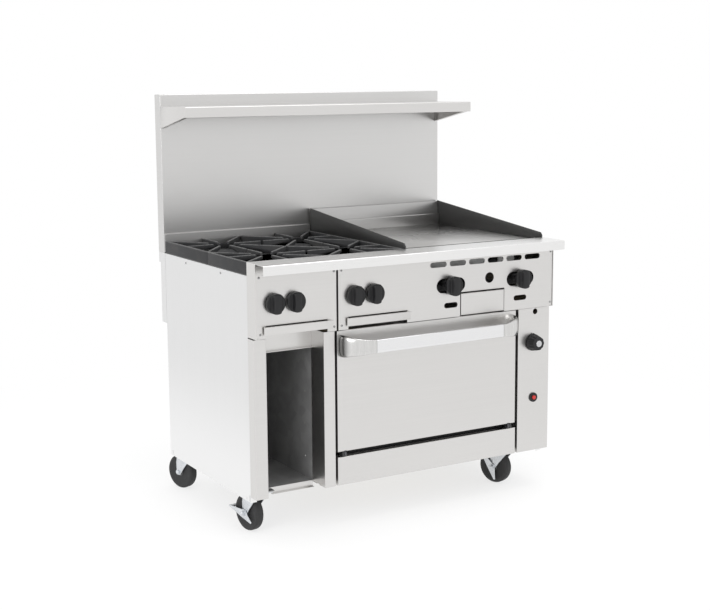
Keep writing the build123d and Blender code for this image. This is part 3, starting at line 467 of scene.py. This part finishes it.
def new_piece(name, mesh, node, finish=None, stands_for=True, sharp_from=35):
    """A visible piece that rides on a CAD node's body, and usually stands for that node.

    Edges where faces meet at sharp_from degrees or more look sharp.
    """
    piece = bpy.data.objects.new(name, mesh)
    bpy.context.scene.collection.objects.link(piece)
    slot = SLOT_OF[node]
    mesh.materials.clear()
    mesh.materials.append(MATERIALS[finish or slot])
    mesh.polygons.foreach_set("material_index", [0] * len(mesh.polygons))
    mesh.shade_smooth()
    mesh.set_sharp_from_angle(angle=radians(sharp_from))
    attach(piece, BODY_OF[node])
    if stands_for:
        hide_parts(node)
    return piece


def finished(bm, name):
    """A mesh from a bmesh, with its faces turned outwards."""
    bmesh.ops.recalc_face_normals(bm, faces=bm.faces)
    mesh = bpy.data.meshes.new(name)
    bm.to_mesh(mesh)
    bm.free()
    return mesh


def rounded(mesh, width):
    """The mesh with its sharp edges rounded over, as pressed or cast edges are; width is in millimetres."""
    temporary = bpy.data.objects.new("temporary", mesh)
    bpy.context.scene.collection.objects.link(temporary)
    bevel = temporary.modifiers.new("rounding", "BEVEL")
    bevel.width, bevel.segments = width * MM, ROUND_SEGMENTS
    bevel.limit_method, bevel.angle_limit = "ANGLE", ROUND_FROM
    bevel.miter_outer = "MITER_ARC"
    bpy.context.view_layer.update()
    result = bpy.data.meshes.new_from_object(temporary.evaluated_get(bpy.context.evaluated_depsgraph_get()))
    bpy.data.objects.remove(temporary)
    return result


def welded(node):
    """A CAD node's mesh as a bmesh, with the vertices joined that lie in one place."""
    bm = bmesh.new()
    bm.from_mesh(NODES[node].data)
    bmesh.ops.remove_doubles(bm, verts=bm.verts, dist=WELD)
    return bm


def cad_copy(node, keep=None):
    """A clean copy of a CAD node's mesh, or of the solids in it that keep(low, high) picks."""
    bm = welded(node)
    if keep:
        unwanted = [face for solid in solids_of(bm) if not keep(*extent(solid)) for face in solid]
        bmesh.ops.delete(bm, geom=unwanted, context="FACES")
    bmesh.ops.dissolve_limit(bm, angle_limit=FLAT, verts=bm.verts, edges=bm.edges)
    return finished(bm, node + "_copy")


def solids_of(bm):
    """Lists of faces, one list for each solid; an edge where two solids touch isn't crossed."""
    waiting, found = set(bm.faces), []
    while waiting:
        solid, reached = [], [waiting.pop()]
        while reached:
            face = reached.pop()
            solid.append(face)
            for edge in face.edges:
                if len(edge.link_faces) == 2:
                    new = [other for other in edge.link_faces if other in waiting]
                    waiting.difference_update(new)
                    reached += new
        found.append(solid)
    return sorted(found, key=lambda solid: tuple(round(v, 5) for v in extent(solid)[0]))


def extent(faces):
    """The lowest and highest corners of some faces."""
    places = [vertex.co for face in faces for vertex in face.verts]
    low = [min(place[axis] for place in places) for axis in (X, Y, Z)]
    high = [max(place[axis] for place in places) for axis in (X, Y, Z)]
    return low, high


def assign(node):
    """A CAD node that stays takes its slot's material, or a lighter copy of it with painted light."""
    mesh = NODES[node].data
    mesh.materials.clear()
    mesh.materials.append(MATERIALS[PAINTED_LIGHT_COPIES.get(node, SLOT_OF[node])])


def loft(bm, rings, capped=True):
    """Faces between rings of points, each joined to the next, and over the first and last ring."""
    made = [[bm.verts.new(point) for point in ring] for ring in rings]
    for first, second in zip(made, made[1:]):
        count = len(first)
        for i in range(count):
            j = (i + 1) % count
            bm.faces.new((first[i], first[j], second[j], second[i]))
    if capped:
        bm.faces.new(made[0])
        bm.faces.new(made[-1])
    return made


def lofted(rings, name):
    """A mesh of one loft, closed at both ends."""
    bm = bmesh.new()
    loft(bm, rings)
    return finished(bm, name)


def axes(origin, axis):
    """A matrix that takes the local x axis to the given axis, with z near upright."""
    ahead = Vector(axis).normalized()
    across = UP.cross(ahead).normalized() if abs(ahead.z) < 0.9 else Vector((1, 0, 0))
    up = ahead.cross(across)
    return Matrix.Translation(origin) @ Matrix((ahead, across, up)).transposed().to_4x4()


def lathe(profile, place, steps=64, shape=None):
    """A turned mesh; the profile is (along, radius) in millimetres, and shape scales a radius at an angle."""
    rings = []
    for along, radius in profile:
        ring = []
        for i in range(steps):
            angle = 2 * pi * i / steps
            r = radius * (shape(along, angle) if shape else 1) * MM
            ring.append(place @ Vector((along * MM, r * cos(angle), r * sin(angle))))
        rings.append(ring)
    bm = bmesh.new()
    closed = profile[0] == profile[-1]
    made = loft(bm, rings, capped=not closed)
    if closed:
        bmesh.ops.remove_doubles(bm, verts=made[0] + made[-1], dist=WELD)
    return finished(bm, "turned")


def circle(radius, steps):
    """Points evenly spaced round a circle."""
    return [(radius * cos(2 * pi * i / steps), radius * sin(2 * pi * i / steps)) for i in range(steps)]


def arc(centre, radius, start, end, steps):
    """Points of an arc in a profile, with angles in degrees from the first coordinate."""
    angles = [radians(start + (end - start) * i / steps) for i in range(steps + 1)]
    return [(centre[0] + radius * cos(a), centre[1] + radius * sin(a)) for a in angles]


def smoothstep(low, high, value):
    t = min(1.0, max(0.0, (value - low) / (high - low)))
    return t * t * (3 - 2 * t)


# ---- burner and griddle knobs, in millimetres ----
KNOB_RINGS, KNOB_STEPS = 34, 96
SKIRT_FACE = 12.5                       # how far the skirt's face stands out
SKIRT_RISE = 1.5                        # and how much more at its rim
BAR_HALF = 10.5                         # half the width of the grip bar in its middle
BAR_FLARE = 2.5                         # and how much more at its ends
BAR_FLANK = 6.5                         # width of the slope from the bar to the skirt
BAR_FALL = 2.5                          # how far the bar's top drops to its ends
BAR_DOME = 1.2                          # and to its sides
SKIRT_EDGE, BAR_EDGE = 2.5, 8.0         # rounding of the rim, beside the bar and on it
KNOB_FOOT = ((5.0, 1.0), (1.2, 1.0), (0.2, 0.975), (0.2, 0.5))      # height, and share of the radius


def knob_face(x, z, r, radius, depth):
    """How far a burner knob stands out at the point (x, z), which is r from its middle."""
    half = BAR_HALF + BAR_FLARE * (z / radius) ** 2
    bar = 1 - smoothstep(half, half + BAR_FLANK, abs(x))
    crown = depth - BAR_FALL * (z / radius) ** 2 - BAR_DOME * (x / half) ** 2 * bar
    level = SKIRT_FACE + SKIRT_RISE * (r / radius) ** 4 + (crown - SKIRT_FACE) * bar
    edge = SKIRT_EDGE + (BAR_EDGE - SKIRT_EDGE) * bar
    into_edge = min(edge, max(0.0, edge - (radius - r)))
    return level - (edge - (edge ** 2 - into_edge ** 2) ** 0.5)


def burner_knob(node):
    """A black phenolic knob: a round skirt whose face is scooped on both sides of a broad grip bar."""
    low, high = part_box(node)
    radius = (high[X] - low[X]) / 2 / MM
    depth = (high[Y] - low[Y]) / MM
    middle = Vector(((low[X] + high[X]) / 2, high[Y], (low[Z] + high[Z]) / 2))
    rings = []
    for i in range(1, KNOB_RINGS + 1):
        r = radius * sin(pi / 2 * i / KNOB_RINGS)
        rings.append([middle + Vector((x, -knob_face(x, z, r, radius, depth), z)) * MM
                      for x, z in circle(r, KNOB_STEPS)])
    for level, share in KNOB_FOOT:
        rings.append([middle + Vector((x, -level, z)) * MM for x, z in circle(radius * share, KNOB_STEPS)])
    new_piece(node + "_moulding", lofted(rings, node), node, sharp_from=50)


# ---- oven knob and igniter, in millimetres ----
OVEN_KNOB_DEPTH, OVEN_KNOB_TOP_R = 34.0, 25.0
OVEN_KNOB_STEPS, POINTER_STEPS = 240, 16
LOBES, LOBE_DEPTH = 10, 0.085           # finger lobes, and the share of the radius between them that is cut
LOBES_START, LOBES_FULL = 5, 9          # heights
LOBES_EASE, LOBES_EASE_OVER = 0.4, 4    # how much shallower they get at the top, and over what height
BUTTON_R, BUTTON_FLANGE_R, BUTTON_ROUND = 7.4, 11.4, 2.2
BUSH_R, BEZEL_WALL, BEZEL_ROUND = 17.0, 0.4, 1.2
BUSH_HEIGHT = 4.5                       # how much of the bush the bezel covers
FLANGE_SUNK = 1.0                       # how far the button's flange is below the bush's front
BEZEL_SIDE = 4.0                        # height of the bezel's side, up to its rounding


def oven_knob():
    """A tapered knob with ten finger lobes, a plated cap and a small pointer on its skirt."""
    low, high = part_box("oven_knob")
    pivot = JOINTS["oven_knob_turn"]["pos_m"]
    place = axes((pivot[X], high[Y], pivot[Z]), (0, -1, 0))
    radius = (high[Z] - low[Z]) / 2 / MM
    depth = OVEN_KNOB_DEPTH

    def lobed(along, angle):
        ease = 1 - LOBES_EASE * smoothstep(depth - LOBES_EASE_OVER, depth, along)
        cut = LOBE_DEPTH * smoothstep(LOBES_START, LOBES_FULL, along) * ease
        return 1 - cut * abs(sin(angle * LOBES / 2)) ** 6

    wall = [(along, radius - (radius - OVEN_KNOB_TOP_R) * along / depth)
            for along in (1.2, 3, 4.5, 5.5, 7, 9, 14, 20, 26, 31)]
    shoulder = arc((31.2, 22.6), 2.8, 80, 10, 5)
    profile = [(0.2, 6), (0.2, radius - 1), *wall, *shoulder, (33.6, 20.5), (33.2, 13)]
    new_piece("oven_knob_moulding", lathe(profile, place, OVEN_KNOB_STEPS, lobed), "oven_knob", sharp_from=50)
    dome = [(33, 0.5), (33, 12), *arc((35.0, 10.4), 1.6, 90, 10, 4), (36.9, 6), (37.0, 0.5)]
    new_piece("oven_knob_cap", lathe(dome, place), "oven_knob", "casting_steel", stands_for=False)
    pointer = [(0.6, 0.6), (0.6, 1.8), (5.4, 1.8), (6.0, 1.2), (6.0, 0.4)]
    tip = place @ Matrix.Translation((0, 0, (radius + 0.6) * MM))
    new_piece("oven_knob_pointer", lathe(pointer, tip, POINTER_STEPS), "oven_knob", stands_for=False)


def igniter():
    """A small red push button in a dark bezel, which covers the bush of the control strip."""
    low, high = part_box("igniter_button")
    middle_x, middle_z = (low[X] + high[X]) / 2, (low[Z] + high[Z]) / 2
    bush_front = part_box("control_strip")[0][Y]
    front = (high[Y] - low[Y]) / MM
    flange = (high[Y] - bush_front) / MM - FLANGE_SUNK
    dome = arc((front - BUTTON_ROUND, BUTTON_R - BUTTON_ROUND), BUTTON_ROUND, 90, 0, 6)
    button = [(0, 0.6), (0, BUTTON_FLANGE_R), (flange, BUTTON_FLANGE_R), (flange, BUTTON_R),
              (front - BUTTON_ROUND - 0.3, BUTTON_R), *dome, (front, 0.6)]
    place = axes((middle_x, high[Y], middle_z), (0, -1, 0))
    new_piece("igniter_button_moulding", lathe(button, place), "igniter_button")
    outside = BUSH_R + BEZEL_WALL
    rounding = arc((BEZEL_SIDE, outside - BEZEL_ROUND), BEZEL_ROUND, 90, 10, 4)
    face = [(4.9, 11.0), (4.55, 7.8), (4.52, 11.5), (4.52, BUSH_R)]
    bezel = [(0, BUSH_R), (0, outside), (BEZEL_SIDE, outside), *rounding, *face, (0, BUSH_R)]
    place = axes((middle_x, bush_front + BUSH_HEIGHT * MM, middle_z), (0, -1, 0))
    new_piece("igniter_bezel", lathe(bezel, place), "control_strip", "knob_black", stands_for=False)


# ---- screws, in millimetres ----
HEAD_R, HEAD_TALL = 4.2, 2.2
HEAD_FALL = 0.75                        # share of its height that the head's dome loses to its rim
CROSS_HALF_WIDTH, CROSS_REACH, CROSS_DEPTH = 0.55, 2.1, 1.1
HEAD_RINGS, HEAD_STEPS = 10, 48


def screw_place(low, high):
    """Where a screw's head sits: it faces forwards in the front panels, and sideways in the sides.

    A screw that faces sideways is clearly shorter along x than its head is across.
    """
    centre = [(a + b) / 2 for a, b in zip(low, high)]
    in_front = high[X] - low[X] > 0.8 * (high[Z] - low[Z])
    if in_front:
        return axes((centre[X], low[Y] + HEAD_TALL * MM, centre[Z]), (0, -1, 0))
    outward = copysign(1, centre[X])
    top = high[X] if outward > 0 else low[X]
    return axes((top - outward * HEAD_TALL * MM, centre[Y], centre[Z]), (outward, 0, 0))


def head_level(y, z, r):
    in_cross = min(abs(y), abs(z)) < CROSS_HALF_WIDTH and max(abs(y), abs(z)) < CROSS_REACH
    return HEAD_TALL * (1 - HEAD_FALL * (r / HEAD_R) ** 2) - (CROSS_DEPTH if in_cross else 0)


def screw_heads():
    """Pan heads with a cross recess, one on each screw of the node."""
    screws = welded("panel_screws")
    places = [screw_place(*extent(solid)) for solid in solids_of(screws)]
    screws.free()
    heads = bmesh.new()
    for place in places:
        rings = []
        for i in range(HEAD_RINGS):
            r = HEAD_R * (i + 0.5) / (HEAD_RINGS - 0.5)
            rings.append([place @ (Vector((head_level(y, z, r), y, z)) * MM)
                          for y, z in circle(r, HEAD_STEPS)])
        rings.append([place @ (Vector((0, y, z)) * MM) for y, z in circle(HEAD_R, HEAD_STEPS)])
        loft(heads, rings)
    new_piece("screw_heads", finished(heads, "screw_heads"), "panel_screws", sharp_from=45)


# ---- door handle ----
BAR_SEAM = 264.5 * MM                   # from the middle to the joint between the bar and a casting
SEAM_GAP = 0.6 * MM
BAR_HALF_HEIGHT, BAR_HALF_DEPTH = 23.0 * MM, 8.5 * MM
BAR_SQUARENESS = 5.0                    # 2 is an ellipse, and more is squarer
CASTING_SQUARENESS = (4.5, 3.0)         # at the bar and at the door
CASTING_SPREAD = 10.5 * MM              # how much its half height grows to the door
CASTING_FOOT = 4.5 * MM                 # and how much more in its last stretch
CASTING_FOOT_FROM = 0.80                # share of the way, sideways, at which that stretch starts
CASTING_THICKENS = 3.5 * MM
CASTING_OVERHANG = 1.3 * BAR_HALF_DEPTH # room for its thickness where it meets the door
CASTING_RINGS, CASTING_STEPS = 36, 48
BAR_STEPS = 40


def oblong(half_width, half_height, steps, squareness):
    """A rounded rectangle, as points (across, up)."""
    corner = 2 / squareness
    return [(half_width * copysign(abs(c) ** corner, c), half_height * copysign(abs(s) ** corner, s))
            for c, s in circle(1, steps)]


def door_handle():
    """A flat bar between two castings, which spread in height as they curve back to the door."""
    low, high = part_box("door_handle")
    middle_x, bar_z = (low[X] + high[X]) / 2, (low[Z] + high[Z]) / 2
    bar_y, door_y = low[Y] + BAR_HALF_DEPTH, high[Y]
    bar_end = BAR_SEAM - SEAM_GAP
    section = oblong(BAR_HALF_DEPTH, BAR_HALF_HEIGHT, BAR_STEPS, BAR_SQUARENESS)
    bar = [[(middle_x + x, bar_y + a, bar_z + u) for a, u in section] for x in (-bar_end, bar_end)]
    new_piece("handle_bar", rounded(lofted(bar, "handle_bar"), 0.5), "door_handle", sharp_from=40)
    reach_x = (high[X] - low[X]) / 2 - BAR_SEAM - CASTING_OVERHANG
    reach_y = door_y - bar_y
    for name, side in (("left", -1), ("right", 1)):
        rings = []
        for i in range(CASTING_RINGS + 1):
            t = pi / 2 * i / CASTING_RINGS
            centre = Vector((BAR_SEAM + reach_x * cos(t), door_y - reach_y * sin(t), 0))
            normal = Vector((cos(t) / reach_x, -sin(t) / reach_y, 0)).normalized()
            flare = smoothstep(0, 1, cos(t))
            foot = smoothstep(CASTING_FOOT_FROM, 1.0, cos(t))
            half_z = BAR_HALF_HEIGHT + CASTING_SPREAD * flare + CASTING_FOOT * foot
            half_w = BAR_HALF_DEPTH + CASTING_THICKENS * cos(t) ** 2
            at_bar, at_door = CASTING_SQUARENESS
            squareness = at_bar - (at_bar - at_door) * flare
            ring = []
            for a, u in oblong(half_w, half_z, CASTING_STEPS, squareness):
                point = centre + normal * a
                ring.append((middle_x + side * point.x, point.y, bar_z + u))
            rings.append(ring)
        mesh = lofted(rings, "handle_end")
        new_piece("handle_end_" + name, mesh, "door_handle", "handle_casting", sharp_from=40)


# ---- casters, in millimetres ----
TYRE_HALF, TYRE_SHOULDER = 16.0, 8.0    # half its width, and the rounding of its tread
WHEEL_STEPS, NUT_STEPS = 96, 48
RIM_R = 45.0                            # where the tyre sits on the rim
# from the wheel's middle to what the nuts bear on
FORK_OUTSIDE, BRAKE_OUTSIDE = 23.0, 27.0
# the nut's is half its width over the flats
BOLT_R, WASHER_R, NUT_R = 5.2, 10.5, 7.8


def wheel(name):
    """A 5 in wheel: a rounded tyre on a dished grey centre, with a bearing and its dust cap."""
    joint = JOINTS["wheel_" + name + "_roll"]
    place = axes(joint["pos_m"], joint["axis"])
    low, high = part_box("wheel_" + name)
    radius = (high[Z] - low[Z]) / 2 / MM
    half, shoulder = TYRE_HALF, TYRE_SHOULDER
    tyre = [(-half + 1.5, RIM_R), (-half, RIM_R + 2.5), (-half, radius - shoulder - 2)]
    tyre += arc((-half + shoulder, radius - shoulder), shoulder, 180, 95, 8) + [(0, radius)]
    tyre += [(-a, r) for a, r in reversed(tyre)][1:]
    new_piece("tyre_" + name, lathe(tyre, place, WHEEL_STEPS), "wheel_" + name)
    dish = [(half - 2.0, RIM_R + 0.4), (half - 2.6, RIM_R - 3), (half - 7.5, RIM_R - 6),
            (half - 8.5, RIM_R - 10)]
    bearing = [(half - 8.5, 22), (half - 6, 17.5), (half - 0.6, 16.0), (half, 15.0)]
    dust_cap = [(half + 0.2, 8.0), (half + 0.2, 5.2)]
    side = dish + bearing + dust_cap
    rim = [(-a, r) for a, r in reversed(side)] + side
    mesh = lathe(rim, place, WHEEL_STEPS)
    new_piece("rim_" + name, mesh, "wheel_" + name, "rim_grey", stands_for=False)


def hexagon(_, angle):
    """How much further out a hexagon's side is at an angle than its nearest point."""
    return 1 / max(cos((angle + pi / 6) % (pi / 3) - pi / 6), 0.5)


def axle_nuts(name):
    """A washer, a hexagon nut and the rounded end of the bolt, on both sides of a fork."""
    joint = JOINTS["wheel_" + name + "_roll"]
    start = BRAKE_OUTSIDE if name in FRONT_CORNERS else FORK_OUTSIDE
    washer = [(start - 0.6, BOLT_R), (start - 0.6, WASHER_R), (start + 1.0, WASHER_R), (start + 1.0, BOLT_R)]
    nut = [(start + 1.0, BOLT_R), (start + 1.0, NUT_R), (start + 5.2, NUT_R), (start + 6.0, 7.0),
           (start + 6.0, BOLT_R)]
    end = [(start + 5.0, 4.9), (start + 7.4, 4.9), (start + 8.2, 4.1), (start + 8.3, 1.0)]
    for tag, sign in (("inner", 1), ("outer", -1)):
        place = axes(joint["pos_m"], [sign * value for value in joint["axis"]])
        parts = (("washer", washer, None), ("nut", nut, hexagon), ("bolt_end", end, None))
        for kind, profile, shape in parts:
            mesh = lathe(profile, place, NUT_STEPS, shape)
            new_piece("_".join((kind, tag, name)), mesh, "fork_" + name, stands_for=False)


# ---- finishes, and nodes that keep the CAD's shape, most with rounded edges ----
MATERIALS = make_materials()
# painted light: lighter copies of the slots' finishes, for the ledge's bright reflections and for light inside the
# cabinet
PAINTED_LIGHT_COPIES = {"landing_ledge": "ledge_steel", "cabinet_liner": "liner_sheet"}

SOFTENED = {                            # widths of the rounding, in millimetres
    "griddle_plate": 1.2, "caster_plates": 0.8, "burner_bodies": 1.5, "burner_caps": 0.6,
    "crumb_tray_left": 0.4, "crumb_tray_right": 0.4, "grease_drawer": 0.4, "shelf_brackets": 0.4,
    "door_gasket": 1.2, "oven_burner": 0.8, "griddle_burners": 0.8,
}
for corner in CORNERS:
    SOFTENED["grate_" + corner] = 1.2
    SOFTENED["fork_" + corner] = 0.6
for corner in FRONT_CORNERS:
    SOFTENED["brake_pedal_" + corner] = 0.6


def griddle_sides():
    """The end guards, whose near-black steel is a painted dark reflection, and the lighter splash sheets behind
    the plate, whose grey steel is painted shade.
    """
    def is_guard(low, high):
        return high[X] - low[X] < 20 * MM

    guards = cad_copy("griddle_guards", is_guard)
    new_piece("griddle_end_guards", rounded(guards, 0.6), "griddle_guards")
    sheets = cad_copy("griddle_guards", lambda low, high: not is_guard(low, high))
    new_piece("griddle_splash", rounded(sheets, 0.5), "griddle_guards", "trim_steel")


def trough():
    """The dark trough with its chute, and the aprons that show through the vent slots, painted light and mostly
    matt as painted light in the shade behind the panel.
    """
    def is_apron(low, high):
        return high[Y] - low[Y] < 2 * MM

    dark = cad_copy("grease_trough", lambda low, high: not is_apron(low, high))
    new_piece("grease_trough_sheets", rounded(dark, 0.4), "grease_trough")
    new_piece("griddle_aprons", cad_copy("grease_trough", is_apron), "grease_trough", "apron_sheet")


def burner_box():
    """The dull sheets round the burners, and the brushed trim behind the grates."""
    grate_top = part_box("grate_rear_left")[1][Z]

    def is_trim(_, high):
        return high[Z] > grate_top + 12 * MM

    walls = cad_copy("burner_box", lambda low, high: not is_trim(low, high))
    new_piece("burner_box_sheets", rounded(walls, 0.3), "burner_box")
    # painted shade: the rear trim takes the splash's darker steel
    new_piece("burner_rear_trim", cad_copy("burner_box", is_trim), "burner_box", "trim_steel")


def main():
    add_camera()
    add_lights()
    add_floor()
    for node, width in SOFTENED.items():
        new_piece(node + "_finish", rounded(cad_copy(node), width), node)
    griddle_sides()
    trough()
    burner_box()
    for node in NODES:
        if node.startswith(("knob_", "griddle_knob_")):
            burner_knob(node)
        if node.startswith("wheel_"):
            wheel(node.removeprefix("wheel_"))
            axle_nuts(node.removeprefix("wheel_"))
        assign(node)
    oven_knob()
    igniter()
    screw_heads()
    door_handle()


main()
